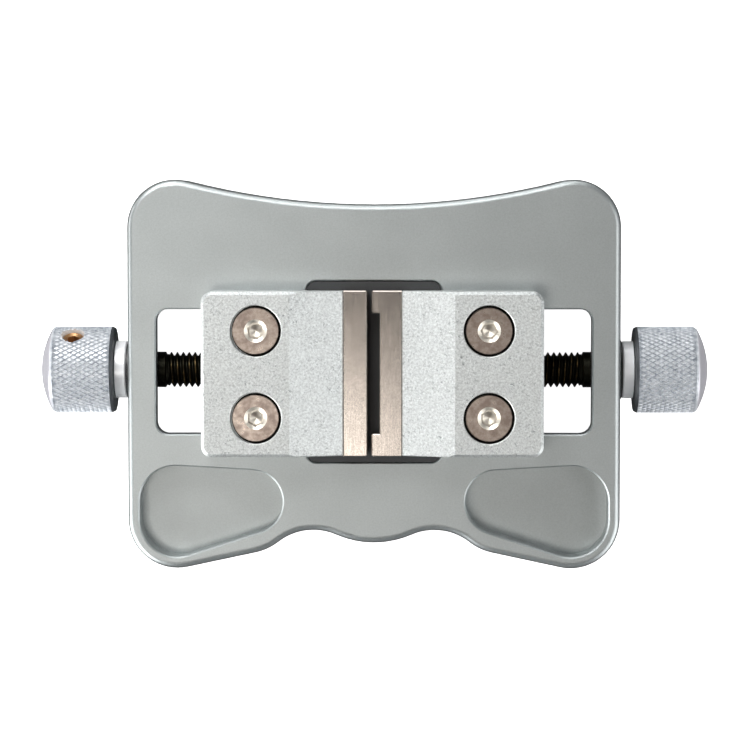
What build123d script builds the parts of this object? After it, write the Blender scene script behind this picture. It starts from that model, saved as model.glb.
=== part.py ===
from build123d import *
import os
from math import cos, radians, sin, sqrt

# A self-centring vise for holding a small circuit board on the bench.
#
# A milled base plate carries one lead screw, right-hand thread at its left end and left-hand
# thread at its right end.  Two T-shaped sliders run in the slot under the top web, each with
# a pressed-in bronze nut, so that turning either knob moves both jaws apart or together.
# Each jaw block is screwed down onto its slider and holds a hardened steel insert.
#
# Millimetres.  X runs along the lead screw, Y goes from the finger recesses to the plain
# back edge, Z is up.  The origin is on the table under the middle of the vise.

# Base plate, outside
BASE_LENGTH = 82.0
BASE_WIDTH = 64.8
BASE_THICK = 14.0
EAR_RADIUS = 7.9            # the two back corners
BACK_HOLLOW = 4.1           # how far the back edge bows in between them
LOBE_RADIUS = 8.2           # the two front corners
LOBE_SLANT = 12.1           # degrees, the straight edge that leaves each front corner
SHOULDER_RADIUS = 9.0       # the convex bend into the front hollow
HOLLOW_RADIUS = 9.5         # the two concave hollows of the front edge
HOLLOW_DEPTH = 6.4
HOLLOW_X = 10.1
BUMP_RISE = 2.1             # the rounded bump between the hollows
TOP_ROUND = 1.1
BOTTOM_CHAMFER = 0.4
RIM_CHAMFER = 0.25          # every inside edge of the top face

# Base plate, slot for the sliders
SCREW_Y = 0.5               # lead screw axis
SCREW_Z = 9.0
WINDOW_END_WALL = 4.75      # end of the window to the end of the plate
WINDOW_WIDTH = 20.8
CAVITY_END_WALL = 2.6       # the wall that carries the bush
LEDGE = 2.8                 # how far the web overhangs the cavity at each side
WEB_THICK = 3.9             # the top web that the sliders hook under
SLOT_CORNER = 2.0

# Base plate, finger recesses
RECESS_DEPTH = 5.0
RECESS_RIM = 1.95           # rim left at the front corner
RECESS_BACK_RADIUS = 6.0
RECESS_BACK_STEP = 3.0      # from the front corner's centre to the next one behind it
RECESS_INNER_RADIUS = 5.3
RECESS_INNER_X = 20.5

# Feet
FOOT_HEIGHT = 2.0
FOOT_DIAMETER = 9.0
FOOT_INSET = 9.5            # foot centre to the sides of the plate
FOOT_CHAMFER = 0.5

# Black pad let into the top of the plate between the jaws
PAD_LENGTH = 22.3
PAD_LAP = 4.6               # how far it rests on the web at each side of the window
PAD_THICK = 2.0
PAD_CORNER = 1.6
PAD_GAP = 0.1               # round the pad, and down from the plate's top face
PAD_SCREW_X = 8.0
PAD_SCREW_EDGE = 1.5        # screw axis to the side of the window
PAD_SCREW_LENGTH = 3.5

# Jaw blocks
JAW_LENGTH = 23.2
JAW_WIDTH = 27.1
JAW_HEIGHT = 8.0
JAW_FLAT = 14.5             # flat stretch of the top, from the outer end
JAW_DROP = 3.2              # how far the slope falls to the insert
JAW_CORNER = 1.8
JAW_CHAMFER = 0.5
JAW_OUTER_LEFT = 28.2       # outer end of each block from the middle of the vise
JAW_OUTER_RIGHT = 27.9
JAW_SCREW_INSET = 8.95
JAW_SCREW_EDGE = 3.25       # screw axis in from the side of the window
JAW_SCREW_LENGTH = 16.0
JAW_SCREW_SINK = 0.35
JAW_SCREW_BORE = 1.2         # straight counterbore above the countersink
EDGE_BREAK = 0.15            # the jaw blocks' and inserts' sharp edges, taken off

# Clamping inserts
INSERT_WIDTH = 27.3
INSERT_THICK_LEFT = 3.95
INSERT_THICK_RIGHT = 3.7
INSERT_CHAMFER = 0.2
LIP_DEPTH = 1.3             # end lips of the right insert, which reach out past its face
LIP_LENGTH = 3.7
INSERT_SCREW_EDGE = 6.15    # screw axis in from the end of the insert
INSERT_SCREW_LENGTH = 8.0
INSERT_SCREW_SINK = 0.1

# Sliders and nuts
SLIDER_LENGTH = 13.0
SLIDER_INSET = 2.5          # outer end of the jaw block to the outer end of its slider
SLIDER_BOTTOM = 1.0         # above the underside of the plate
NUT_WALL = 1.5
NUT_LENGTH = 11.0

# Lead screw
SCREW_DIAMETER = 5.9        # crest diameter of the M6 thread
COLLAR_STEP = 0.05          # the plain collars stand this much proud of the crests
COLLAR_SHOWN = 1.35         # how much of each collar is inside the window
RELIEF_DEPTH = 0.55         # plain neck where the two threads meet
RELIEF_LENGTH = 4.0
JOURNAL_STEP = 0.45         # the journals are this much smaller than the crests
BUSH_WALL = 1.45
WASHER_RIM = 0.9            # the washer stands this far past the bush
WASHER_THICK = 0.5

# Knobs
KNOB_NECK_STEP = 0.1        # the neck is this much smaller than the washer
KNOB_NECK_LENGTH = 2.0
KNOB_DIAMETER = 15.0
KNOB_BODY_LENGTH = 10.5
KNOB_DOME = 1.9
KNOB_CHAMFER = 0.5
KNOB_BORE_DEPTH = 10.5
SET_SCREW_INSET = 3.7       # hole axis to the end of the knurled body
SET_SCREW_TURN = 60.0       # degrees the hole leans from straight up towards +Y
SET_SCREW_HOLE = 3.9
SET_SCREW_DIAMETER = 3.8
SET_SCREW_SINK = 1.2
JOURNAL_FLAT_DEPTH = 0.4    # flat under the set screw

# Fits
SLIDE_GAP = 0.1             # slider to slot, each side, and jaw to the top of the plate
INSERT_LIFT = 0.2           # underside of the insert above the plate
END_PLAY = 0.1
RUNNING_CLEARANCE = 0.05    # screw in nut and journal in bush, on the radius
SHAFT_CLEARANCE = 0.4       # slider bore round the collar, on the radius
THREAD_CHAMFER = 0.3
BLIND_EXTRA = 0.5           # a tapped hole goes this much deeper than its screw

# Countersunk hexagon socket screws: thread, head, key and clearance hole
M4 = {"thread": 4.0, "head": 7.7, "key": 2.5, "hole": 4.5}
M2 = {"thread": 2.0, "head": 3.8, "key": 1.3, "hole": 2.2}
M1_6 = {"thread": 1.6, "head": 3.1, "key": 1.0, "hole": 1.8}
SET_SCREW_KEY = 2.0

# Heights and lengths that follow from the values above
PLATE_Z = FOOT_HEIGHT
TOP_Z = PLATE_Z + BASE_THICK
WEB_Z = TOP_Z - WEB_THICK
JAW_Z = TOP_Z + SLIDE_GAP
JAW_TOP_Z = JAW_Z + JAW_HEIGHT
INSERT_TOP_Z = JAW_TOP_Z - JAW_DROP
INSERT_Z = TOP_Z + INSERT_LIFT
INSERT_SCREW_Z = (INSERT_Z + INSERT_TOP_Z) / 2
HALF_LENGTH = BASE_LENGTH / 2
HALF_WIDTH = BASE_WIDTH / 2
WINDOW_HALF = HALF_LENGTH - WINDOW_END_WALL
CAVITY_HALF = HALF_LENGTH - CAVITY_END_WALL
CAVITY_WIDTH = WINDOW_WIDTH + 2 * LEDGE
POCKET_DEPTH = PAD_THICK + PAD_GAP
PAD_WIDTH = WINDOW_WIDTH + 2 * PAD_LAP
PAD_SCREW_Y = WINDOW_WIDTH / 2 + PAD_SCREW_EDGE
JAW_SCREW_Y = WINDOW_WIDTH / 2 - JAW_SCREW_EDGE
INSERT_SCREW_Y = INSERT_WIDTH / 2 - INSERT_SCREW_EDGE
NUT_BORE = SCREW_DIAMETER + 2 * RUNNING_CLEARANCE
NUT_DIAMETER = NUT_BORE + 2 * NUT_WALL
COLLAR_DIAMETER = SCREW_DIAMETER + 2 * COLLAR_STEP
THREAD_HALF = WINDOW_HALF - COLLAR_SHOWN
RELIEF_DIAMETER = SCREW_DIAMETER - 2 * RELIEF_DEPTH
JOURNAL_DIAMETER = SCREW_DIAMETER - 2 * JOURNAL_STEP
JOURNAL_FLAT = JOURNAL_DIAMETER / 2 - JOURNAL_FLAT_DEPTH
BUSH_BORE = JOURNAL_DIAMETER + 2 * RUNNING_CLEARANCE
BUSH_DIAMETER = BUSH_BORE + 2 * BUSH_WALL
WASHER_DIAMETER = BUSH_DIAMETER + 2 * WASHER_RIM
KNOB_NECK_DIAMETER = WASHER_DIAMETER - 2 * KNOB_NECK_STEP
COLLAR_END = CAVITY_HALF - END_PLAY
KNOB_NECK_X = HALF_LENGTH + WASHER_THICK + END_PLAY
KNOB_BODY_X = KNOB_NECK_X + KNOB_NECK_LENGTH
KNOB_END_X = KNOB_BODY_X + KNOB_BODY_LENGTH
KNOB_TIP_X = KNOB_END_X + KNOB_DOME
JOURNAL_END = KNOB_NECK_X + KNOB_BORE_DEPTH
SET_SCREW_X = KNOB_END_X - SET_SCREW_INSET


def block(x_from, x_to, width, z_from, z_to):
    """A box centred across on the lead screw."""
    middle = ((x_from + x_to) / 2, SCREW_Y, (z_from + z_to) / 2)
    return Pos(*middle) * Box(abs(x_to - x_from), width, z_to - z_from)


def bar(x_from, x_to, diameter):
    """A round bar on the lead screw's axis."""
    shape = Cylinder(diameter / 2, x_to - x_from, align=(Align.CENTER, Align.CENTER, Align.MIN))
    return Pos(x_from, SCREW_Y, SCREW_Z) * Rot(0, 90, 0) * shape


def turned(points):
    """A turned solid from (radius, height) points, about the Z axis."""
    profile = Polyline(*[(r, 0, z) for r, z in points], close=True)
    return revolve(make_face(profile), Axis.Z)


def arc(centre, radius, start, end):
    """The shorter arc about centre from start to end."""
    towards = ((start - centre).normalized() + (end - centre).normalized()).normalized()
    return ThreePointArc(start, centre + towards * radius, end)


def both_sides(edges):
    return edges + [mirror(edge, Plane.YZ) for edge in edges]


def at_left(shape):
    """The same piece at the other end of the lead screw."""
    return mirror(shape, Plane.YZ)


def countersunk_screw(size, length):
    """A countersunk socket screw, its head's top at the origin and its thread along -Z."""
    radius, head = size["thread"] / 2, size["head"] / 2
    tip = radius - THREAD_CHAMFER
    shape = turned([(0, 0), (head, 0), (radius, radius - head), (radius, THREAD_CHAMFER - length),
                    (tip, -length), (0, -length)])
    socket_depth = size["key"] * 0.7
    socket = extrude(Pos(0, 0, -socket_depth) * hexagon(size["key"]), socket_depth)
    return shape - socket


def countersunk_hole(size, sink, depth):
    """The clearance hole for that screw when its head lies sink below the surface."""
    mouth, hole = size["head"] / 2 + sink, size["hole"] / 2
    return turned([(0, 0), (mouth, 0), (hole, hole - mouth), (hole, -depth), (0, -depth)])


def counterbored_hole(size, sink, bore, depth):
    """The same with a straight bore first, its rim broken, and the countersink at its bottom."""
    mouth, hole = size["head"] / 2 + sink, size["hole"] / 2
    seat = mouth - bore
    return turned([(0, 0), (mouth + EDGE_BREAK, 0), (mouth, -EDGE_BREAK), (mouth, -bore), (seat, -bore),
                   (hole, hole - mouth), (hole, -depth), (0, -depth)])


def tapped_hole(size, depth):
    return Cylinder(size["thread"] / 2, depth, align=(Align.CENTER, Align.CENTER, Align.MAX))


def hexagon(across_flats):
    return RegularPolygon(across_flats / 2, 6, major_radius=False)


def plate_outline():
    """The plate seen from above: bowed back edge, straight sides, scalloped front edge."""
    ear = Vector(HALF_LENGTH - EAR_RADIUS, HALF_WIDTH - EAR_RADIUS)
    back = Vector(0, HALF_WIDTH - BACK_HOLLOW)
    run, rise = ear.X, back.Y - ear.Y
    bow_radius = (run**2 + rise**2 - EAR_RADIUS**2) / (2 * (EAR_RADIUS - rise))
    bow = back + Vector(0, bow_radius)
    ear_start = ear + (bow - ear).normalized() * EAR_RADIUS
    side_back = ear + Vector(EAR_RADIUS, 0)

    lobe = Vector(HALF_LENGTH - LOBE_RADIUS, LOBE_RADIUS - HALF_WIDTH)
    side_front = lobe + Vector(LOBE_RADIUS, 0)
    slant = Vector(-cos(radians(LOBE_SLANT)), sin(radians(LOBE_SLANT)))
    outward = Vector(-sin(radians(LOBE_SLANT)), -cos(radians(LOBE_SLANT)))
    lobe_end = lobe + outward * LOBE_RADIUS

    hollow_top = HOLLOW_DEPTH - HALF_WIDTH
    hollow = Vector(HOLLOW_X, hollow_top - HOLLOW_RADIUS)
    shoulder_from = lobe_end - outward * SHOULDER_RADIUS
    reach = SHOULDER_RADIUS + HOLLOW_RADIUS
    offset = shoulder_from - hollow
    along = offset.dot(slant)
    slant_length = -along - sqrt(along**2 - offset.dot(offset) + reach**2)
    shoulder = shoulder_from + slant * slant_length
    slant_end = lobe_end + slant * slant_length
    hollow_start = hollow + (shoulder - hollow).normalized() * HOLLOW_RADIUS

    bump_radius = (HOLLOW_X**2 + BUMP_RISE**2) / (2 * BUMP_RISE) - HOLLOW_RADIUS
    bump_front = Vector(0, hollow_top - BUMP_RISE)
    bump = bump_front + Vector(0, bump_radius)
    bump_start = bump + (hollow - bump).normalized() * bump_radius

    edges = [
        arc(bow, bow_radius, back, ear_start),
        arc(ear, EAR_RADIUS, ear_start, side_back),
        Line(side_back, side_front),
        arc(lobe, LOBE_RADIUS, side_front, lobe_end),
        Line(lobe_end, slant_end),
        arc(shoulder, SHOULDER_RADIUS, slant_end, hollow_start),
        arc(hollow, HOLLOW_RADIUS, hollow_start, bump_start),
        arc(bump, bump_radius, bump_start, bump_front),
    ]
    return make_face(both_sides(edges))


def finger_recess():
    """The pocket in the right front corner, a hull of three rounds."""
    corner = Pos(HALF_LENGTH - LOBE_RADIUS, LOBE_RADIUS - HALF_WIDTH)
    back_x = HALF_LENGTH - RECESS_RIM - RECESS_BACK_RADIUS
    back_y = LOBE_RADIUS - HALF_WIDTH + RECESS_BACK_STEP
    rounds = [
        corner * Circle(LOBE_RADIUS - RECESS_RIM),
        Pos(back_x, back_y) * Circle(RECESS_BACK_RADIUS),
        Pos(RECESS_INNER_X, back_y) * Circle(RECESS_INNER_RADIUS),
    ]
    outline = make_hull([edge for each in rounds for edge in each.edges()])
    return extrude(Pos(0, 0, TOP_Z - RECESS_DEPTH) * outline, RECESS_DEPTH)


def slot(length, width, z_from, z_to):
    outline = Pos(0, SCREW_Y, z_from) * RectangleRounded(length, width, SLOT_CORNER)
    return extrude(outline, z_to - z_from)


def pad_pocket():
    outline = RectangleRounded(PAD_LENGTH + 2 * PAD_GAP, PAD_WIDTH + 2 * PAD_GAP, PAD_CORNER + PAD_GAP)
    return extrude(Pos(0, SCREW_Y, TOP_Z - POCKET_DEPTH) * outline, POCKET_DEPTH)


def pad_screw_places():
    return [Pos(x, SCREW_Y + y, TOP_Z - PAD_GAP)
            for x in (-PAD_SCREW_X, PAD_SCREW_X) for y in (-PAD_SCREW_Y, PAD_SCREW_Y)]


def base_plate():
    plate = extrude(Pos(0, 0, PLATE_Z) * plate_outline(), BASE_THICK)
    plate = fillet(plate.faces().sort_by(Axis.Z)[-1].edges(), TOP_ROUND)
    plate = chamfer(plate.faces().sort_by(Axis.Z)[0].edges(), BOTTOM_CHAMFER)
    recess = finger_recess()
    plate = plate - slot(2 * WINDOW_HALF, WINDOW_WIDTH, PLATE_Z, TOP_Z)
    plate = plate - slot(2 * CAVITY_HALF, CAVITY_WIDTH, PLATE_Z, WEB_Z)
    plate = plate - pad_pocket() - recess - at_left(recess)
    rims = [edge for wire in plate.faces().sort_by(Axis.Z)[-1].inner_wires() for edge in wire.edges()]
    plate = chamfer(rims, RIM_CHAMFER)
    plate = plate - bar(-HALF_LENGTH, HALF_LENGTH, BUSH_DIAMETER)
    for place in pad_screw_places():
        plate = plate - place * tapped_hole(M1_6, PAD_SCREW_LENGTH + BLIND_EXTRA)
    return plate


def foot(x_side, y_side):
    radius = FOOT_DIAMETER / 2
    x = x_side * (HALF_LENGTH - FOOT_INSET)
    y = y_side * (HALF_WIDTH - FOOT_INSET)
    return Pos(x, y, 0) * turned([(0, 0), (radius - FOOT_CHAMFER, 0), (radius, FOOT_CHAMFER),
                                  (radius, FOOT_HEIGHT), (0, FOOT_HEIGHT)])


def centre_pad():
    outline = Pos(0, SCREW_Y, TOP_Z - POCKET_DEPTH) * RectangleRounded(PAD_LENGTH, PAD_WIDTH, PAD_CORNER)
    pad = extrude(outline, PAD_THICK)
    for place in pad_screw_places():
        pad = pad - place * countersunk_hole(M1_6, PAD_GAP, PAD_THICK)
    return pad


def pad_screws():
    sunk = Pos(0, 0, -PAD_GAP)
    return [place * sunk * countersunk_screw(M1_6, PAD_SCREW_LENGTH) for place in pad_screw_places()]


def bush():
    return bar(CAVITY_HALF, HALF_LENGTH, BUSH_DIAMETER) - bar(CAVITY_HALF, HALF_LENGTH, BUSH_BORE)


def thrust_washer():
    face = HALF_LENGTH + WASHER_THICK
    return bar(HALF_LENGTH, face, WASHER_DIAMETER) - bar(HALF_LENGTH, face, BUSH_BORE)


def set_screw_place(turn):
    """Frame at the lead screw's axis, its Z pointing out along the set screw."""
    return Pos(SET_SCREW_X, SCREW_Y, SCREW_Z) * Rot(-turn, 0, 0)


def journal_flat(turn):
    """The flat that the set screw bears on, open to the journal's end."""
    start, stop = KNOB_BODY_X - SET_SCREW_X, JOURNAL_END - SET_SCREW_X
    height = JOURNAL_DIAMETER
    cut = Pos((start + stop) / 2, 0, JOURNAL_FLAT + height / 2) * Box(stop - start, height, height)
    return set_screw_place(turn) * cut


def lead_screw():
    screw = bar(-THREAD_HALF, THREAD_HALF, SCREW_DIAMETER)
    relief = bar(-RELIEF_LENGTH / 2, RELIEF_LENGTH / 2, SCREW_DIAMETER)
    screw = screw - (relief - bar(-RELIEF_LENGTH / 2, RELIEF_LENGTH / 2, RELIEF_DIAMETER))
    journal = bar(THREAD_HALF, JOURNAL_END, JOURNAL_DIAMETER)
    journal = chamfer(journal.faces().sort_by(Axis.X)[-1].edges(), THREAD_CHAMFER)
    collar = bar(THREAD_HALF, COLLAR_END, COLLAR_DIAMETER)
    right_end = collar + (journal - journal_flat(SET_SCREW_TURN + 180))
    left_end = collar + (journal - journal_flat(SET_SCREW_TURN))
    return screw + right_end + at_left(left_end)


def knob(turn):
    """The right-hand knob, with its set screw leaning turn degrees from straight up."""
    neck, body = KNOB_NECK_DIAMETER / 2, KNOB_DIAMETER / 2
    shoulder = body - KNOB_CHAMFER
    dome_radius = (shoulder**2 + KNOB_DOME**2) / (2 * KNOB_DOME)
    flank = Polyline((0, 0, KNOB_NECK_X), (neck, 0, KNOB_NECK_X), (neck, 0, KNOB_BODY_X),
                     (shoulder, 0, KNOB_BODY_X), (body, 0, KNOB_BODY_X + KNOB_CHAMFER),
                     (body, 0, KNOB_END_X - KNOB_CHAMFER), (shoulder, 0, KNOB_END_X))
    halfway = shoulder / 2
    crown = KNOB_TIP_X - dome_radius + sqrt(dome_radius**2 - halfway**2)
    dome = ThreePointArc((shoulder, 0, KNOB_END_X), (halfway, 0, crown), (0, 0, KNOB_TIP_X))
    axis_line = Line((0, 0, KNOB_TIP_X), (0, 0, KNOB_NECK_X))
    shape = revolve(make_face([flank, dome, axis_line]), Axis.Z)
    shape = Pos(0, SCREW_Y, SCREW_Z) * Rot(0, 90, 0) * shape
    shape = shape - bar(KNOB_NECK_X, JOURNAL_END, JOURNAL_DIAMETER)
    hole = Cylinder(SET_SCREW_HOLE / 2, body, align=(Align.CENTER, Align.CENTER, Align.MIN))
    return shape - set_screw_place(turn) * hole


def set_screw(turn):
    """A socket set screw between the journal's flat and just under the knurling."""
    radius, top = SET_SCREW_DIAMETER / 2, KNOB_DIAMETER / 2 - SET_SCREW_SINK
    shape = turned([(0, JOURNAL_FLAT), (radius / 2, JOURNAL_FLAT), (radius, JOURNAL_FLAT + radius / 2),
                    (radius, top - THREAD_CHAMFER), (radius - THREAD_CHAMFER, top), (0, top)])
    socket_depth = SET_SCREW_KEY * 0.8
    socket = extrude(Pos(0, 0, top - socket_depth) * hexagon(SET_SCREW_KEY), socket_depth)
    return set_screw_place(turn) * (shape - socket)


def jaw_screw_places(outer_x):
    x = outer_x - JAW_SCREW_INSET
    return [Pos(x, SCREW_Y + y, JAW_TOP_Z) for y in (-JAW_SCREW_Y, JAW_SCREW_Y)]


def insert_screw_places(face_x):
    """Frames on the clamping face, with Z pointing out of it."""
    return [Pos(face_x, SCREW_Y + y, INSERT_SCREW_Z) * Rot(0, -90, 0)
            for y in (-INSERT_SCREW_Y, INSERT_SCREW_Y)]


def jaw_block(outer_x, insert_thick):
    """A jaw block at the right of the vise, its clamping side towards -X."""
    inner_x, flat_x = outer_x - JAW_LENGTH, outer_x - JAW_FLAT
    side = Polyline((inner_x, 0, JAW_Z), (outer_x, 0, JAW_Z), (outer_x, 0, JAW_TOP_Z),
                    (flat_x, 0, JAW_TOP_Z), (inner_x, 0, INSERT_TOP_Z), close=True)
    shape = extrude(Pos(0, SCREW_Y, 0) * make_face(side), JAW_WIDTH / 2, dir=(0, 1, 0), both=True)
    corners = shape.faces().sort_by(Axis.X)[-1].edges().filter_by(Axis.Z)
    shape = fillet(corners, JAW_CORNER)
    top_edges = shape.faces().sort_by(Axis.Z)[-1].edges().sort_by(Axis.X)[1:]
    shape = chamfer(top_edges, JAW_CHAMFER)
    inner_end = shape.faces().sort_by(Axis.X)[0].edges().sort_by(Axis.Z)[1:]
    slope = shape.faces().sort_by(Axis.X)[1]
    slope_sides = slope.edges().group_by(Axis.Y)
    shape = chamfer(inner_end + slope_sides[0] + slope_sides[-1], EDGE_BREAK)
    for place in jaw_screw_places(outer_x):
        shape = shape - place * counterbored_hole(M4, JAW_SCREW_SINK, JAW_SCREW_BORE, JAW_HEIGHT)
    depth = INSERT_SCREW_LENGTH + BLIND_EXTRA
    for place in insert_screw_places(inner_x - insert_thick):
        shape = shape - place * tapped_hole(M2, depth)
    return shape


def insert_body(outer_x, thick):
    inner_x = outer_x - JAW_LENGTH
    return block(inner_x - thick, inner_x, INSERT_WIDTH, INSERT_Z, INSERT_TOP_Z)


def insert_lips(face_x):
    lips = block(face_x - LIP_DEPTH, face_x, INSERT_WIDTH, INSERT_Z, INSERT_TOP_Z)
    return lips - block(face_x - LIP_DEPTH, face_x, INSERT_WIDTH - 2 * LIP_LENGTH, INSERT_Z, INSERT_TOP_Z)


def finish_insert(shape, face_x):
    """Break the insert's upright ends and top edges, then drill it for its two screws."""
    upright = shape.edges().filter_by(Axis.Z).group_by(Axis.X)[0]
    shape = chamfer(upright, INSERT_CHAMFER)
    shape = chamfer(shape.faces().sort_by(Axis.Z)[-1].edges(), EDGE_BREAK)
    for place in insert_screw_places(face_x):
        shape = shape - place * countersunk_hole(M2, INSERT_SCREW_SINK, INSERT_THICK_LEFT)
    return shape


def plain_insert(outer_x, thick):
    face_x = outer_x - JAW_LENGTH - thick
    return finish_insert(insert_body(outer_x, thick), face_x)


def lipped_insert(outer_x, thick):
    face_x = outer_x - JAW_LENGTH - thick
    return finish_insert(insert_body(outer_x, thick) + insert_lips(face_x), face_x)


def insert_screws(outer_x, thick):
    sunk = Pos(0, 0, -INSERT_SCREW_SINK)
    places = insert_screw_places(outer_x - JAW_LENGTH - thick)
    return [place * sunk * countersunk_screw(M2, INSERT_SCREW_LENGTH) for place in places]


def jaw_screws(outer_x):
    sunk = Pos(0, 0, -JAW_SCREW_SINK)
    return [place * sunk * countersunk_screw(M4, JAW_SCREW_LENGTH) for place in jaw_screw_places(outer_x)]


def slider(outer_x):
    """The T-shaped block under a jaw: a neck in the window, a flange under the web."""
    end_x = outer_x - SLIDER_INSET
    start_x = end_x - SLIDER_LENGTH
    flange_z = WEB_Z - SLIDE_GAP
    flange = block(start_x, end_x, CAVITY_WIDTH - 4 * SLIDE_GAP, PLATE_Z + SLIDER_BOTTOM, flange_z)
    neck = block(start_x, end_x, WINDOW_WIDTH - 2 * SLIDE_GAP, flange_z, JAW_Z)
    neck = fillet(neck.edges().filter_by(Axis.Z), SLOT_CORNER + 2 * SLIDE_GAP)
    shape = flange + neck
    shape = shape - bar(start_x, end_x, COLLAR_DIAMETER + 2 * SHAFT_CLEARANCE)
    shape = shape - bar(start_x, start_x + NUT_LENGTH, NUT_DIAMETER)
    thread_depth = JAW_SCREW_SINK + JAW_SCREW_LENGTH + BLIND_EXTRA
    for place in jaw_screw_places(outer_x):
        shape = shape - place * tapped_hole(M4, thread_depth)
    return shape


def nut(outer_x):
    start_x = outer_x - SLIDER_INSET - SLIDER_LENGTH
    end_x = start_x + NUT_LENGTH
    return bar(start_x, end_x, NUT_DIAMETER) - bar(start_x, end_x, NUT_BORE)


def make_parts():
    right_turn, left_turn = SET_SCREW_TURN + 180, SET_SCREW_TURN
    right, left = JAW_OUTER_RIGHT, JAW_OUTER_LEFT
    return {
        "base_plate": base_plate(),
        "centre_pad": centre_pad(),
        "pad_screws": pad_screws(),
        "foot_back_right": foot(1, 1),
        "foot_back_left": foot(-1, 1),
        "foot_front_right": foot(1, -1),
        "foot_front_left": foot(-1, -1),
        "bush_right": bush(),
        "bush_left": at_left(bush()),
        "thrust_washer_right": thrust_washer(),
        "thrust_washer_left": at_left(thrust_washer()),
        "lead_screw": lead_screw(),
        "knob_right": knob(right_turn),
        "knob_left": at_left(knob(left_turn)),
        "set_screw_right": set_screw(right_turn),
        "set_screw_left": at_left(set_screw(left_turn)),
        "jaw_block_right": jaw_block(right, INSERT_THICK_RIGHT),
        "jaw_block_left": at_left(jaw_block(left, INSERT_THICK_LEFT)),
        "insert_right": lipped_insert(right, INSERT_THICK_RIGHT),
        "insert_left": at_left(plain_insert(left, INSERT_THICK_LEFT)),
        "insert_screws_right": insert_screws(right, INSERT_THICK_RIGHT),
        "insert_screws_left": [at_left(s) for s in insert_screws(left, INSERT_THICK_LEFT)],
        "jaw_screws_right": jaw_screws(right),
        "jaw_screws_left": [at_left(s) for s in jaw_screws(left)],
        "slider_right": slider(right),
        "slider_left": at_left(slider(left)),
        "nut_right": nut(right),
        "nut_left": at_left(nut(left)),
    }


os.makedirs("parts", exist_ok=True)
for node, shape in make_parts().items():
    solids = shape if isinstance(shape, list) else [shape]
    export_step(Compound(children=[s.solid() for s in solids]), f"parts/{node}.step")
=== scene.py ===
"""Circuit board vise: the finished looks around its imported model, in a small studio.

The file is laid out as an add-on. Each operator makes one piece or one group of like pieces.
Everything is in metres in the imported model's frame: X runs along the lead screw and Z is up.
Turned pieces are modelled along the X axis, then set in place.
"""

import math

import bmesh
import bpy
from mathutils import Matrix, Vector


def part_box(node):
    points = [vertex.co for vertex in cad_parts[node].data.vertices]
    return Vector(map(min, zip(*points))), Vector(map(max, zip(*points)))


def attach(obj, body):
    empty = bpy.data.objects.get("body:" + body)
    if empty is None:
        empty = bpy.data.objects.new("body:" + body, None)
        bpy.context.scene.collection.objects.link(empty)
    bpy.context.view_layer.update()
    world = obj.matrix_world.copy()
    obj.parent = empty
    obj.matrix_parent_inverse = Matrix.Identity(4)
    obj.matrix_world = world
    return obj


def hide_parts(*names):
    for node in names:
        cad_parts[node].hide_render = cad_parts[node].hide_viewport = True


bl_info = {
    "name": "Circuit Board Vise",
    "version": (1, 0, 0),
    "blender": (4, 5, 0),
    "location": "3D View > Sidebar > Vise",
    "description": "Models a small self-centring circuit board vise and its studio",
    "category": "Object",
}

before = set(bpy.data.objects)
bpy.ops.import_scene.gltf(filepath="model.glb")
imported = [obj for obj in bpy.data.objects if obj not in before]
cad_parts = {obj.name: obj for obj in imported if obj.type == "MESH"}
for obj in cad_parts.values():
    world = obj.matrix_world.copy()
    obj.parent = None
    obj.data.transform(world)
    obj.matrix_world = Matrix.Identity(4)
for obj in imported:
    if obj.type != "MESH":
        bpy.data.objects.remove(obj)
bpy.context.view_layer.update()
MM = 0.001
WELD = 1e-7                 # vertices nearer than this are one
X_AXIS = Vector((1, 0, 0))
MIX_A, MIX_B, MIX_RESULT = 6, 7, 2      # the colour sockets of a Mix node
SPAN = {"From Min": 0.3, "From Max": 0.7}       # where nearly all of a noise texture's values lie


# Helpers -----------------------------------------------------------------------------------------

def linear(hex_colour):
    """An sRGB hex colour as linear red, green and blue."""
    channels = [int(hex_colour[i:i + 2], 16) / 255 for i in (0, 2, 4)]
    return [c / 12.92 if c <= 0.04045 else ((c + 0.055) / 1.055) ** 2.4 for c in channels]


def length(name, description, size_mm):
    return bpy.props.FloatProperty(
        name=name, description=description, default=size_mm * MM, min=0, unit="LENGTH", subtype="DISTANCE")


def colour(name, description, hex_colour):
    return bpy.props.FloatVectorProperty(
        name=name, description=description, default=linear(hex_colour), min=0, max=1, size=3, subtype="COLOR")


def count(name, description, number):
    return bpy.props.IntProperty(name=name, description=description, default=number, min=1)


def add(tree, kind, inputs=(), **settings):
    """Adds a shader node with its own settings, and sets or links its input sockets."""
    made = tree.nodes.new("ShaderNode" + kind)
    for name, value in settings.items():
        setattr(made, name, value)
    for key, value in dict(inputs).items():
        socket = made.inputs[key]
        if isinstance(value, bpy.types.NodeSocket):
            tree.links.new(value, socket)
        else:
            socket.default_value = value
    return made


def rgba(colour_property):
    return (*colour_property, 1.0)


def new_finish(name):
    """An empty material with its node tree, and the piece's own coordinates in millimetres."""
    material = bpy.data.materials.new(name)
    material.use_nodes = True
    tree = material.node_tree
    tree.nodes.clear()
    metres = add(tree, "TexCoord").outputs["Object"]
    in_mm = add(tree, "VectorMath", {0: metres, "Scale": 1 / MM}, operation="SCALE").outputs[0]
    return material, tree, in_mm


def turned(bm, profile, steps):
    """Turns (along, radius) points about the X axis into a skin, closed where they start or end on it."""
    points = [bm.verts.new((along, 0, radius)) for along, radius in profile]
    edges = [bm.edges.new(pair) for pair in zip(points, points[1:])]
    bmesh.ops.spin(bm, geom=points + edges, cent=(0, 0, 0), axis=X_AXIS, dvec=(0, 0, 0),
                   angle=math.tau, steps=steps, use_merge=True, use_duplicate=False)
    bmesh.ops.remove_doubles(bm, verts=bm.verts[:], dist=WELD)


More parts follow.
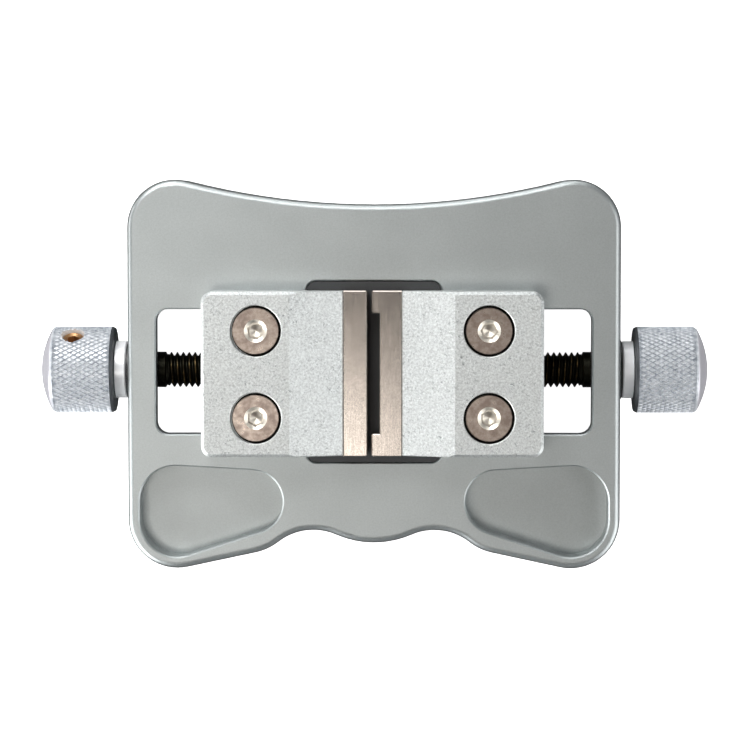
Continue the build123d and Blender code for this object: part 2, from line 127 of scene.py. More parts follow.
def threaded(bm, start, stop, pitch, crest, depth, steps, right_handed=True):
    """A helical thread's skin between two planes across the X axis, open at both."""
    old = set(bm.verts)
    root = crest - depth
    # One tooth as (share of the pitch, radius): flat root, flank, flat crest
    tooth = ((0.0, root), (0.125, root), (0.5, crest), (0.625, crest))
    spare = 2           # turns that stand over at each end, to be cut off there
    turns = math.ceil((stop - start) / pitch) + 2 * spare
    points = [bm.verts.new((start + (turn - spare + part) * pitch, 0, radius))
              for turn in range(turns) for part, radius in tooth]
    edges = [bm.edges.new(pair) for pair in zip(points, points[1:])]
    lead = pitch / steps if right_handed else -pitch / steps
    bmesh.ops.spin(bm, geom=points + edges, cent=(0, 0, 0), axis=X_AXIS, dvec=(lead, 0, 0),
                   angle=math.tau, steps=steps, use_merge=False, use_duplicate=False)
    bmesh.ops.remove_doubles(bm, verts=[v for v in bm.verts if v not in old], dist=WELD)
    for place, keep in ((start, 1), (stop, -1)):
        skin = {v for v in bm.verts if v not in old}
        edges = {e for v in skin for e in v.link_edges}
        faces = {f for v in skin for f in v.link_faces}
        bmesh.ops.bisect_plane(bm, geom=[*skin, *edges, *faces], dist=WELD, plane_co=(place, 0, 0),
                               plane_no=(keep, 0, 0), clear_inner=True)


def bridge(bm, *places):
    """Joins the open loops that lie across the X axis at these two places."""
    near = 10 * WELD
    loops = [e for e in bm.edges if e.is_boundary
             and any(all(abs(v.co.x - place) < near for v in e.verts) for place in places)]
    bmesh.ops.bridge_loops(bm, edges=loops)


def shade(bm, sharp_degrees=28):
    """Faces the skin outwards and smooths it, except over sharp edges."""
    bmesh.ops.recalc_face_normals(bm, faces=bm.faces[:])
    for face in bm.faces:
        face.smooth = True
    for edge in bm.edges:
        edge.smooth = edge.is_manifold and edge.calc_face_angle() < math.radians(sharp_degrees)


def as_object(bm, name):
    mesh = bpy.data.meshes.new(name)
    bm.to_mesh(mesh)
    bm.free()
    made = bpy.data.objects.new(name, mesh)
    bpy.context.scene.collection.objects.link(made)
    return made


def cut(solid, *cutters):
    """Takes the cutters out of the solid, for good."""
    for cutter in cutters:
        boolean = solid.modifiers.new("cut", "BOOLEAN")
        boolean.operation, boolean.solver, boolean.object = "DIFFERENCE", "EXACT", cutter
    evaluated = solid.evaluated_get(bpy.context.evaluated_depsgraph_get())
    mesh = bpy.data.meshes.new_from_object(evaluated)
    solid.modifiers.clear()
    solid.data = mesh
    for cutter in cutters:
        bpy.data.objects.remove(cutter)


def cone(name, segments, start, stop, start_radius, stop_radius):
    """A closed cone along X from start to stop, with its radius at each."""
    bm = bmesh.new()
    place = Matrix.Translation(((start + stop) / 2, 0, 0)) @ Matrix.Rotation(math.pi / 2, 4, "Y")
    bmesh.ops.create_cone(bm, segments=segments, radius1=start_radius, radius2=stop_radius,
                          depth=stop - start, cap_ends=True, cap_tris=False, matrix=place)
    bmesh.ops.recalc_face_normals(bm, faces=bm.faces[:])
    return as_object(bm, name)


def piece(name, bm, material, body, slot, *nodes, sharp_degrees=28):
    """Makes a finished piece that stands for CAD nodes and moves with a body."""
    shade(bm, sharp_degrees)
    made = as_object(bm, name)
    made.data.materials.append(material)
    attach(made, body)
    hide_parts(*nodes)
    return made


def dress(material, *nodes):
    """Gives CAD nodes that keep their own shape a finish."""
    for node in nodes:
        for material_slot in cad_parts[node].material_slots:
            material_slot.material = material


def screw_axis():
    """A point on the lead screw's axis."""
    low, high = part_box("lead_screw")
    return (low + high) / 2


# Finishes ----------------------------------------------------------------------------------------

class FinishSettings(bpy.types.PropertyGroup):
    plate: colour("Base plate", "Clear anodised aluminium of the base plate", "b6bbbb")
    jaw: colour("Jaw blocks", "Sand-blasted aluminium of the jaw blocks", "e1e4e3")
    pit: colour("Blasting pits", "Dark bottoms of the pits that blasting leaves", "767b7c")
    # The bores' colour is painted shade, for the dark gap round each jaw screw's head
    bore: colour("Screw bores", "Oily machined walls of the holes for the jaw screws", "2b2927")
    bore_gap: length("Bore gap", "Gap round the head of a jaw screw", 0.35)
    insert: colour("Inserts", "Ground tool steel of the clamping inserts", "b0a8a1")
    stainless: colour("Screws", "Stainless steel of the countersunk screws", "afa298")
    # The sockets' colour is a painted highlight on the upward floor and mouth of each jaw screw's socket
    socket: colour("Sockets", "Burnished steel in the sockets of the jaw screws", "ece5d8")
    nickel: colour("Knobs", "Satin nickel plating of the knobs", "fcfdff")
    dome: colour("Knob domes", "Turned and nickel-plated domes of the knobs", "c6c5cc")
    # The knob ends' colour is painted shade on the inner ends, which face the base
    turned_end: colour("Knob ends", "Oily turned steel of the knobs' inner ends", "4d5053")
    # The holes' colour is drilled steel's own paleness and a painted highlight on the hole's wall
    drilled: colour("Set screw holes", "Freshly drilled steel of the set screw holes", "f2f3f4")
    # The knurl grooves' colour is painted shade, mixed in by depth with a patchy noise
    grime: colour("Knurl grooves", "Grey film that gathers in the grooves of the knurling", "8f969f")
    oxide: colour("Lead screw", "Black oxide of the lead screw", "17160f")
    worn: colour("Worn crests", "Steel that shows where the black has rubbed off", "6e5a38")
    copper: colour("Set screws", "Copper plating of the set screws", "a8835e")
    bronze: colour("Nuts and bushes", "Cast bronze of the nuts and bushes", "b08b55")
    slider: colour("Sliders", "Milled steel of the sliders", "aeb0b1")
    pad: colour("Pad", "Black glass-filled laminate of the pad", "343536")
    washer: colour("Thrust washers", "Black acetal of the thrust washers", "1e1f20")
    rubber: colour("Feet", "Black rubber of the feet", "1c1c1d")


def bead_blasted_aluminium(finish):
    """Bead-blasted, clear anodised aluminium: an even satin metal with a very fine grain."""
    material, tree, mm = new_finish("bead_blasted_anodised_aluminium")
    # The beads' marks are really under 0.1 mm across, and are drawn coarser so that they show
    grain = add(tree, "TexNoise", {"Vector": mm, "Scale": 1 / 0.28, "Detail": 3.0, "Roughness": 0.6})
    cloud = add(tree, "TexNoise", {"Vector": mm, "Scale": 1 / 14.0, "Detail": 2.0})
    tone = add(tree, "MapRange", {"Value": cloud.outputs["Fac"], **SPAN, "To Min": 0.95, "To Max": 1.03})
    speck = add(tree, "MapRange", {"Value": grain.outputs["Fac"], **SPAN, "To Min": 0.91, "To Max": 1.07})
    both = add(tree, "Math", {0: tone.outputs["Result"], 1: speck.outputs["Result"]}, operation="MULTIPLY")
    body = add(tree, "VectorMath", {0: finish.plate, "Scale": both.outputs[0]}, operation="SCALE")
    rough = add(tree, "MapRange", {"Value": grain.outputs["Fac"], **SPAN, "To Min": 0.38, "To Max": 0.50})
    bump = add(tree, "Bump", {"Strength": 0.35, "Distance": 0.02 * MM, "Height": grain.outputs["Fac"]})
    shader = add(tree, "BsdfPrincipled", {"Base Color": body.outputs[0], "Metallic": 1.0,
                                          "Roughness": rough.outputs["Result"], "Normal": bump.outputs[0]})
    add(tree, "OutputMaterial", {"Surface": shader.outputs["BSDF"]})
    return material


def sand_blasted_aluminium(finish, screw_x, screw_y, bore, top):
    """Sand-blasted aluminium: paler and coarser than the plate, flecked with pits, with painted black shade
    in its bores.
    """
    material, tree, mm = new_finish("sand_blasted_aluminium")
    # The grit's marks are really about 0.1 mm across, and are drawn coarser so that they show
    grit = add(tree, "TexNoise", {"Vector": mm, "Scale": 1 / 0.34, "Detail": 3.0, "Roughness": 0.7})
    spread = add(tree, "TexNoise", {"Vector": mm, "Scale": 1 / 3.2, "Detail": 2.0})
    flecks = add(tree, "TexNoise", {"Vector": mm, "Scale": 1 / 0.5, "Detail": 4.0, "Roughness": 0.8,
                                    "Distortion": 0.6})
    pits = add(tree, "MapRange", {"Value": flecks.outputs["Fac"], "From Min": 0.54, "From Max": 0.68,
                                  "To Min": 0.0, "To Max": 0.9})
    where = add(tree, "MapRange", {"Value": spread.outputs["Fac"], "From Min": 0.35, "From Max": 0.60,
                                   "To Min": 0.15, "To Max": 1.0})
    pit_share = add(tree, "Math", {0: pits.outputs["Result"], 1: where.outputs["Result"]},
                    operation="MULTIPLY")
    tone = add(tree, "MapRange", {"Value": grit.outputs["Fac"], **SPAN, "To Min": 0.66, "To Max": 1.16})
    body = add(tree, "VectorMath", {0: finish.jaw, "Scale": tone.outputs["Result"]}, operation="SCALE")
    pitted = add(tree, "Mix", {0: pit_share.outputs[0], MIX_A: body.outputs[0], MIX_B: rgba(finish.pit)},
                 data_type="RGBA")
    # The bores lie mirrored about both middle lines of the vise
    middle_y = screw_axis().y / MM
    centred = add(tree, "VectorMath", {0: mm, 1: (0, middle_y, 0)}, operation="SUBTRACT")
    folded = add(tree, "VectorMath", {0: centred.outputs[0]}, operation="ABSOLUTE")
    from_bore = add(tree, "VectorMath", {0: folded.outputs[0], 1: (screw_x / MM, screw_y / MM, 0)},
                    operation="SUBTRACT")
    flat = add(tree, "VectorMath", {0: from_bore.outputs[0], 1: (1, 1, 0)}, operation="MULTIPLY")
    radius = add(tree, "VectorMath", {0: flat.outputs[0]}, operation="LENGTH").outputs["Value"]
    depth = add(tree, "SeparateXYZ", {0: mm}).outputs["Z"]
    # The painted shade fades out just past a bore's wall, and just under the jaw's top
    bore_mm, top_mm = bore / MM, top / MM
    inside = add(tree, "MapRange", {"Value": radius, "From Min": bore_mm + 0.02, "From Max": bore_mm + 0.06,
                                    "To Min": 1.0, "To Max": 0.0})
    below = add(tree, "MapRange", {"Value": depth, "From Min": top_mm - 0.25, "From Max": top_mm - 0.1,
                                   "To Min": 1.0, "To Max": 0.0})
    oily = add(tree, "Math", {0: inside.outputs["Result"], 1: below.outputs["Result"]}, operation="MULTIPLY")
    whole = add(tree, "Mix", {0: oily.outputs[0], MIX_A: pitted.outputs[MIX_RESULT],
                              MIX_B: rgba(finish.bore)}, data_type="RGBA")
    height = add(tree, "Math", {0: grit.outputs["Fac"], 1: pit_share.outputs[0]}, operation="SUBTRACT")
    bump = add(tree, "Bump", {"Strength": 0.7, "Distance": 0.035 * MM, "Height": height.outputs[0]})
    rough = add(tree, "MapRange", {"Value": grit.outputs["Fac"], **SPAN, "To Min": 0.45, "To Max": 0.58})
    shader = add(tree, "BsdfPrincipled", {"Base Color": whole.outputs[MIX_RESULT], "Metallic": 1.0,
                                          "Roughness": rough.outputs["Result"], "Normal": bump.outputs[0]})
    add(tree, "OutputMaterial", {"Surface": shader.outputs["BSDF"]})
    return material


def ground_tool_steel(finish):
    """Surface-ground tool steel: warm and glossy, with fine straight grinding lines along its length."""
    material, tree, mm = new_finish("ground_tool_steel")
    # Grinding lines are really closer than 0.1 mm, and are drawn wider apart so that they show
    stretched = add(tree, "Mapping", {"Vector": mm, "Scale": (1.0, 0.04, 1.0)})
    lines = add(tree, "TexNoise", {"Vector": stretched.outputs[0], "Scale": 1 / 0.18, "Detail": 2.0})
    stain = add(tree, "TexNoise", {"Vector": mm, "Scale": 1 / 3.5, "Detail": 3.0})
    tone = add(tree, "MapRange", {"Value": stain.outputs["Fac"], **SPAN, "To Min": 0.93, "To Max": 1.03})
    grain = add(tree, "TexNoise", {"Vector": mm, "Scale": 1 / 0.3, "Detail": 3.0, "Roughness": 0.7})
    speck = add(tree, "MapRange", {"Value": grain.outputs["Fac"], **SPAN, "To Min": 0.86, "To Max": 1.14})
    both = add(tree, "Math", {0: tone.outputs["Result"], 1: speck.outputs["Result"]}, operation="MULTIPLY")
    body = add(tree, "VectorMath", {0: finish.insert, "Scale": both.outputs[0]}, operation="SCALE")
    rough = add(tree, "MapRange", {"Value": lines.outputs["Fac"], **SPAN, "To Min": 0.15, "To Max": 0.21})
    bump = add(tree, "Bump", {"Strength": 0.12, "Distance": 0.002 * MM, "Height": lines.outputs["Fac"]})
    shader = add(tree, "BsdfPrincipled", {"Base Color": body.outputs[0], "Metallic": 1.0,
                                          "Roughness": rough.outputs["Result"], "Normal": bump.outputs[0]})
    add(tree, "OutputMaterial", {"Surface": shader.outputs["BSDF"]})
    return material


def pickled_stainless(finish):
    """Stainless steel screws, cold headed and pickled: glossy and warm, with faint cloudy stains."""
    material, tree, mm = new_finish("pickled_stainless_steel")
    cloud = add(tree, "TexNoise", {"Vector": mm, "Scale": 1 / 1.1, "Detail": 4.0, "Roughness": 0.65})
    stain = add(tree, "MapRange", {"Value": cloud.outputs["Fac"], "From Min": 0.38, "From Max": 0.62,
                                   "To Min": 0.0, "To Max": 1.0})
    darkened = [channel * share for channel, share in zip(finish.stainless, (0.66, 0.62, 0.62))]
    tint = add(tree, "Mix", {0: stain.outputs["Result"], MIX_A: rgba(finish.stainless),
                             MIX_B: rgba(darkened)}, data_type="RGBA")
    rough = add(tree, "MapRange", {"Value": cloud.outputs["Fac"], **SPAN, "To Min": 0.26, "To Max": 0.38})
    bump = add(tree, "Bump", {"Strength": 0.15, "Distance": 0.004 * MM, "Height": cloud.outputs["Fac"]})
    shader = add(tree, "BsdfPrincipled", {"Base Color": tint.outputs[MIX_RESULT], "Metallic": 1.0,
                                          "Roughness": rough.outputs["Result"], "Normal": bump.outputs[0]})
    add(tree, "OutputMaterial", {"Surface": shader.outputs["BSDF"]})
    return material


def off_axis(tree, mm, axis_point):
    """Distance from the lead screw's axis, in millimetres."""
    centred = add(tree, "VectorMath", {0: mm, 1: [c / MM for c in axis_point]}, operation="SUBTRACT")
    across = add(tree, "VectorMath", {0: centred.outputs[0], 1: (0, 1, 1)}, operation="MULTIPLY")
    return add(tree, "VectorMath", {0: across.outputs[0]}, operation="LENGTH").outputs["Value"]


def black_oxide_steel(finish, axis_point, root, crest):
    """Oil-black steel: nearly black in the roots, rubbed through to a brown gold on the crests."""
    material, tree, mm = new_finish("black_oxide_steel")
    radius = off_axis(tree, mm, axis_point)
    near_crest = add(tree, "MapRange", {"Value": radius, "From Min": (root + 0.7 * (crest - root)) / MM,
                                        "From Max": crest / MM, "To Min": 0.0, "To Max": 1.0})
    patch = add(tree, "TexNoise", {"Vector": mm, "Scale": 1 / 1.3, "Detail": 4.0, "Roughness": 0.6})
    rubbed = add(tree, "MapRange", {"Value": patch.outputs["Fac"], "From Min": 0.44, "From Max": 0.64,
                                    "To Min": 0.05, "To Max": 0.75})
    on_thread = add(tree, "MapRange", {"Value": radius, "From Min": crest / MM + 0.01,
                                       "From Max": crest / MM + 0.03, "To Min": 1.0, "To Max": 0.0})
    wear = add(tree, "Math", {0: rubbed.outputs["Result"], 1: on_thread.outputs["Result"]},
               operation="MULTIPLY")
    share = add(tree, "Math", {0: near_crest.outputs["Result"], 1: wear.outputs[0]}, operation="MULTIPLY")
    body = add(tree, "Mix", {0: share.outputs[0], MIX_A: rgba(finish.oxide), MIX_B: rgba(finish.worn)},
               data_type="RGBA")
    rough = add(tree, "MapRange", {"Value": share.outputs[0], "From Min": 0.0, "From Max": 1.0,
                                   "To Min": 0.42, "To Max": 0.28})
    bump = add(tree, "Bump", {"Strength": 0.3, "Distance": 0.01 * MM, "Height": patch.outputs["Fac"]})
    shader = add(tree, "BsdfPrincipled", {"Base Color": body.outputs[MIX_RESULT], "Metallic": 0.9,
                                          "Roughness": rough.outputs["Result"], "Normal": bump.outputs[0]})
    add(tree, "OutputMaterial", {"Surface": shader.outputs["BSDF"]})
    return material


def nickel_plated_steel(finish, axis_point, groove, crest):
    """Nickel plating over a cut knurl: pale and satin on the points, with painted shade making it greyer down
    in the grooves.
    """
    material, tree, mm = new_finish("nickel_plated_steel")
    radius = off_axis(tree, mm, axis_point)
    # Painted shade: greyer the deeper a point lies in the knurl's grooves
    depth = add(tree, "MapRange", {"Value": radius, "From Min": groove / MM, "From Max": crest / MM,
                                   "To Min": 1.0, "To Max": 0.0})
    # A noise that makes the painted shade in the grooves patchy, and moves the gloss and height
    film = add(tree, "TexNoise", {"Vector": mm, "Scale": 1 / 0.8, "Detail": 3.0})
    on_knurl = add(tree, "MapRange", {"Value": radius, "From Min": 0.94 * groove / MM,
                                      "From Max": 0.985 * groove / MM, "To Min": 0.0, "To Max": 1.0})
    low_part = add(tree, "Math", {0: depth.outputs["Result"], 1: on_knurl.outputs["Result"]},
                   operation="MULTIPLY")
    patchy = add(tree, "MapRange", {"Value": film.outputs["Fac"], **SPAN, "To Min": 0.5, "To Max": 1.0})
    share = add(tree, "Math", {0: low_part.outputs[0], 1: patchy.outputs["Result"]}, operation="MULTIPLY")
    body = add(tree, "Mix", {0: share.outputs[0], MIX_A: rgba(finish.nickel), MIX_B: rgba(finish.grime)},
               data_type="RGBA")
    rough = add(tree, "MapRange", {"Value": film.outputs["Fac"], **SPAN, "To Min": 0.28, "To Max": 0.40})
    bump = add(tree, "Bump", {"Strength": 0.2, "Distance": 0.006 * MM, "Height": film.outputs["Fac"]})
    shader = add(tree, "BsdfPrincipled", {"Base Color": body.outputs[MIX_RESULT], "Metallic": 0.2,
                                          "Roughness": rough.outputs["Result"], "Normal": bump.outputs[0]})
    add(tree, "OutputMaterial", {"Surface": shader.outputs["BSDF"]})
    return material


def plain_finish(name, tint, metallic, roughness, spot, height, variation=0.12):
    """A finish whose only pattern is one grain, which moves its tone, gloss and height together.

    The grain's spot and height are in millimetres, and a grain too fine to show is drawn coarser.
    """
    material, tree, mm = new_finish(name)
    grain = add(tree, "TexNoise", {"Vector": mm, "Scale": 1 / spot, "Detail": 4.0, "Roughness": 0.6})
    tone = add(tree, "MapRange", {"Value": grain.outputs["Fac"], **SPAN,
                                  "To Min": 1 - variation, "To Max": 1 + variation})
    body = add(tree, "VectorMath", {0: tint, "Scale": tone.outputs["Result"]}, operation="SCALE")
    rough = add(tree, "MapRange", {"Value": grain.outputs["Fac"], **SPAN,
                                   "To Min": roughness * 0.85, "To Max": roughness * 1.15})
    bump = add(tree, "Bump", {"Strength": 0.5, "Distance": height * MM, "Height": grain.outputs["Fac"]})
    shader = add(tree, "BsdfPrincipled", {"Base Color": body.outputs[0], "Metallic": metallic,
                                          "Roughness": rough.outputs["Result"], "Normal": bump.outputs[0]})
    add(tree, "OutputMaterial", {"Surface": shader.outputs["BSDF"]})
    return material


class VISE_OT_frame_finishes(bpy.types.Operator):
    """Gives the plate, jaws, inserts and the other shown CAD parts their finishes"""
    bl_idname = "vise.frame_finishes"
    bl_label = "Finish Frame Parts"

    def execute(self, context):
        finish = context.scene.vise_finish
        dress(bead_blasted_aluminium(finish), "base_plate")
        low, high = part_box("jaw_screws_right")
        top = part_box("jaw_block_right")[1].z
        head = (high.x - low.x) / 2
        blasted = sand_blasted_aluminium(finish, (low.x + high.x) / 2, (high.y - low.y) / 2 - head,
                                         head + finish.bore_gap, top)
        dress(blasted, "jaw_block_left", "jaw_block_right")
        dress(ground_tool_steel(finish), "insert_left", "insert_right")
        # Glass-filled laminate: matt black with a fine fibrous grain
        laminate = plain_finish("black_glass_laminate", finish.pad,
                                metallic=0.0, roughness=0.55, spot=0.35, height=0.02)
        dress(laminate, "centre_pad")
        # Milled steel, lightly oiled: mid grey with soft tool marks
        milled = plain_finish("milled_steel", finish.slider,
                              metallic=1.0, roughness=0.36, spot=0.5, height=0.01)
        dress(milled, "slider_left", "slider_right")
        # Cast and turned bronze: yellow brown and satin
        bronze = plain_finish("turned_bronze", finish.bronze,
                              metallic=1.0, roughness=0.34, spot=0.4, height=0.01)
        dress(bronze, "nut_left", "nut_right", "bush_left", "bush_right")
        # Acetal: dense black with a waxy sheen
        acetal = plain_finish("black_acetal", finish.washer,
                              metallic=0.0, roughness=0.38, spot=0.6, height=0.005)
        dress(acetal, "thrust_washer_left", "thrust_washer_right")
        # Moulded rubber: dull black with a fine skin
        rubber = plain_finish("moulded_rubber", finish.rubber,
                              metallic=0.0, roughness=0.8, spot=0.3, height=0.03)
        dress(rubber, "foot_back_left", "foot_back_right", "foot_front_left", "foot_front_right")
        return {"FINISHED"}


# Lead screw --------------------------------------------------------------------------------------

class LeadScrewSettings(bpy.types.PropertyGroup):
    pitch: length("Pitch", "Distance from one thread crest to the next", 1.0)
    depth: length("Thread depth", "Root of the thread to its crest", 0.6)
    crest: length("Crest radius", "Radius over the thread crests", 2.95)
    threaded_half: length("Thread end", "Middle of the screw to the end of each thread", 34.9)
    collar_end: length("Collar end", "Middle of the screw to the end of each plain collar", 38.3)
    journal: length("Journal radius", "Radius of the bearing journal at each end", 2.5)
    relief_half: length("Relief half length", "Half of the plain neck between the two threads", 2.0)
    steps: count("Steps", "Steps in one turn of the thread", 48)


class VISE_OT_lead_screw(bpy.types.Operator):
    """Makes the lead screw, right-hand threaded on its left half and left-hand on its right half"""
    bl_idname = "vise.lead_screw"
    bl_label = "Lead Screw"

    def execute(self, context):
        size = context.scene.vise_lead_screw
        low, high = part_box("lead_screw")
        collar = (high.z - low.z) / 2
        edge = 0.2 * MM
        journal_chamfer, thread_chamfer = 1.5 * edge, 2 * edge
        root = size.crest - size.depth
        run_out = 0.4 * size.pitch
        bm = bmesh.new()
        for side in (-1, 1):
            end = high.x if side > 0 else low.x
            turned(bm, [(end, 0), (end, size.journal - journal_chamfer),
                        (end - side * journal_chamfer, size.journal), (side * size.collar_end, size.journal),
                        (side * size.collar_end, collar - edge), (side * (size.collar_end - edge), collar),
                        (side * (size.threaded_half + edge), collar),
                        (side * size.threaded_half, collar - thread_chamfer)], size.steps)
            near, far = size.relief_half + run_out, size.threaded_half - run_out
            threaded(bm, *sorted((side * near, side * far)), size.pitch, size.crest, size.depth,
                     size.steps, right_handed=side < 0)
            bridge(bm, side * far, side * size.threaded_half)
        turned(bm, [(-size.relief_half, root), (size.relief_half, root)], size.steps)
        for side in (-1, 1):
            bridge(bm, side * size.relief_half, side * (size.relief_half + run_out))
        axis_point = screw_axis()
        bmesh.ops.translate(bm, verts=bm.verts[:], vec=(0, axis_point.y, axis_point.z))
        steel = black_oxide_steel(context.scene.vise_finish, axis_point, root, size.crest)
        piece("lead_screw_threaded", bm, steel, "spindle", "black_steel", "lead_screw")
        return {"FINISHED"}


# Knobs -------------------------------------------------------------------------------------------

KNOB_EDGE = 0.2 * MM        # broken edges of the bore and neck
DOME_RING = 0.1 * MM        # flat ring between the chamfer and the dome
DOME_STEPS = 12
HOLE_STEPS = 48
CLEAR = 1.0 * MM            # how far a cutter reaches past what it cuts
TURNED, DRILLED, DOMED = 1, 2, 3        # a knob's materials after its first, the knurl's


class KnobSettings(bpy.types.PropertyGroup):
    diamonds: count("Diamonds round", "Knurl diamonds in one row round the knob", 54)
    rows: count("Rows", "Half rows of diamonds along the knurled part", 13)
    groove: length("Groove depth", "Depth of the knurling", 0.25)
    flank: length("Flank width", "Width of each sloping side of a diamond", 0.16)
    neck: length("Neck radius", "Radius of the plain neck", 4.8)
    neck_length: length("Neck length", "Length of the plain neck", 2.0)
    body_length: length("Body length", "Length of the knurled body with its chamfers", 10.5)
    chamfer: length("Chamfer", "Chamfer at both ends of the knurled body", 0.5)
    bore: length("Bore radius", "Radius of the hole for the journal", 2.5)
    bore_depth: length("Bore depth", "Depth of the hole for the journal", 10.5)
    hole: length("Screw hole radius", "Radius of the hole for the set screw", 1.95)


def knob_profile(size, tip, radius):
    """A right knob's (along, radius) points from the bottom of its bore to its tip.

    Also gives where the knurling starts and stops, and the radius of its grooves.
    """
    dome = tip - size.neck_length - size.body_length
    valley = radius - size.groove
    shoulder = radius - size.chamfer
    body, end = size.neck_length, size.neck_length + size.body_length
    first, last = body + size.chamfer, end - size.chamfer
    edge = KNOB_EDGE
    points = [(size.bore_depth, 0), (size.bore_depth, size.bore), (edge, size.bore), (0, size.bore + edge),
              (0, size.neck - edge), (edge, size.neck), (body - edge, size.neck), (body, size.neck + edge),
              (body, shoulder)]
    points += [(first + (last - first) * row / size.rows, valley) for row in range(size.rows + 1)]
    curve = (shoulder ** 2 + dome ** 2) / (2 * dome)
    points.append((end - DOME_RING, shoulder))
    for part in range(1, DOME_STEPS):
        at = shoulder * math.cos(math.pi / 2 * part / DOME_STEPS)
        points.append((end + dome - curve + math.sqrt(curve ** 2 - at ** 2), at))
    points.append((end + dome, 0))
    return points, first, last, valley


def knurl(bm, size, first, last):
    """Turns the plain grid between first and last into raised diamonds."""
    columns, spacing = 2 * size.diamonds, (last - first) / size.rows
    grid = {}
    for v in bm.verts:
        if first - WELD < v.co.x < last + WELD:
            row = round((v.co.x - first) / spacing)
            column = round(math.atan2(v.co.y, v.co.z) / math.tau * columns)
            grid[v] = (row, (row + column) % 2)
    bmesh.ops.connect_verts(bm, verts=[v for v, (row, odd) in grid.items() if odd])
    spent = [v for v, (row, odd) in grid.items() if not odd and 0 < row < size.rows]
    bmesh.ops.dissolve_verts(bm, verts=spent)
    diamonds = [f for f in bm.faces if all(v.is_valid and v in grid for v in f.verts)]
    bmesh.ops.inset_individual(bm, faces=diamonds, thickness=size.flank, depth=size.groove,
                               use_even_offset=True, use_interpolate=True)


def along(direction, place, spin=0.0):
    """Sets something modelled along X at a place, pointing in a direction."""
    turn = X_AXIS.rotation_difference(direction).to_matrix().to_4x4()
    return Matrix.Translation(place) @ turn @ Matrix.Rotation(spin, 4, "X")


def set_screw_line(node):
    """Which way a set screw points, and the place on the lead screw's axis that it points away from."""
    low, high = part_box(node)
    centre, axis_point = (low + high) / 2, screw_axis()
    foot = Vector((centre.x, axis_point.y, axis_point.z))
    return (centre - foot).normalized(), foot


class VISE_OT_knobs(bpy.types.Operator):
    """Makes both diamond-knurled knobs, each with its hole for a set screw"""
    bl_idname = "vise.knobs"
    bl_label = "Knobs"

    def execute(self, context):
        size = context.scene.vise_knobs
        axis_point = screw_axis()
        low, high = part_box("knob_right")
        radius = (high.z - low.z) / 2
        finish = context.scene.vise_finish
        nickel = nickel_plated_steel(finish, axis_point, radius - size.groove, radius)
        # Painted shade on the knobs' inner ends, where they face the base: dull and dark grey
        turned_end = plain_finish("inner_end_painted_shade", finish.turned_end,
                                  metallic=0.6, roughness=0.5, spot=0.5, height=0.01)
        # Drilled steel with a painted highlight on the hole's wall: pale, with the drill's fine scratches
        drilled = plain_finish("drilled_steel_painted_highlight", finish.drilled,
                               metallic=0.2, roughness=0.6, spot=0.3, height=0.01, variation=0.04)
        # Turned nickel plate: smooth satin with the lathe's faint marks
        dome = plain_finish("turned_nickel_plate", finish.dome,
                            metallic=0.5, roughness=0.36, spot=0.4, height=0.004, variation=0.05)
        body_start, body_stop = size.neck_length, size.neck_length + size.body_length
        for side, name in ((-1, "left"), (1, "right")):
            low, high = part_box("knob_" + name)
            bm = bmesh.new()
            points, first, last, valley = knob_profile(size, high.x - low.x, radius)
            turned(bm, points, 2 * size.diamonds)
            knurl(bm, size, first, last)
            base = low.x if side > 0 else high.x
            place = Matrix.Translation((base, axis_point.y, axis_point.z))
            if side < 0:
                place = place @ Matrix.Rotation(math.pi, 4, "Z")
            bmesh.ops.transform(bm, matrix=place, verts=bm.verts[:])
            bmesh.ops.recalc_face_normals(bm, faces=bm.faces[:])
            blank = as_object(bm, "knob_blank")
            outward, centre = set_screw_line("set_screw_" + name)
            hole = cone("hole", HOLE_STEPS, CLEAR, radius + CLEAR, size.hole, size.hole)
            hole.data.transform(along(outward, centre))
            cut(blank, hole)
            bm = bmesh.new()
            bm.from_mesh(blank.data)
            bpy.data.objects.remove(blank)
            # The painted shade on the inner end lies between these distances from the knob's base, and the
            # dome past the last one
            end_reach = (body_start - 0.3 * MM, first - 0.1 * MM)
            dome_reach = body_stop - 0.2 * MM
            for face in bm.faces:
                middle = face.calc_center_median()
                reach = abs(middle.x - base)
                off = math.hypot(middle.y - axis_point.y, middle.z - axis_point.z)
                from_hole = (middle - centre).cross(outward).length
                in_hole = from_hole < size.hole + 0.01 * MM and (middle - centre).dot(outward) > size.bore
                if in_hole and off < valley:
                    face.material_index = DRILLED
                elif end_reach[0] < reach < end_reach[1] and off > size.neck:
                    face.material_index = TURNED
                elif reach > dome_reach:
                    face.material_index = DOMED
            made = piece("knob_knurled_" + name, bm, nickel, "spindle", "knob_steel", "knob_" + name)
            for material in (turned_end, drilled, dome):
                made.data.materials.append(material)
        return {"FINISHED"}


# Screws ------------------------------------------------------------------------------------------

# Radii over the threads
JAW_THREAD, INSERT_THREAD, PAD_THREAD, SET_THREAD = 2.0 * MM, 1.0 * MM, 0.8 * MM, 1.9 * MM
POINT = 0.3 * MM            # cone at a countersunk screw's point
SET_POINT = 0.95 * MM       # cone at a set screw's point
HEAD_EDGE, SET_EDGE = 0.1 * MM, 0.3 * MM        # broken edges of a head, and of a set screw's top
SPINS = {"left": (0.0, 0.2), "right": (0.05, 0.45)}     # how far each jaw screw was turned home


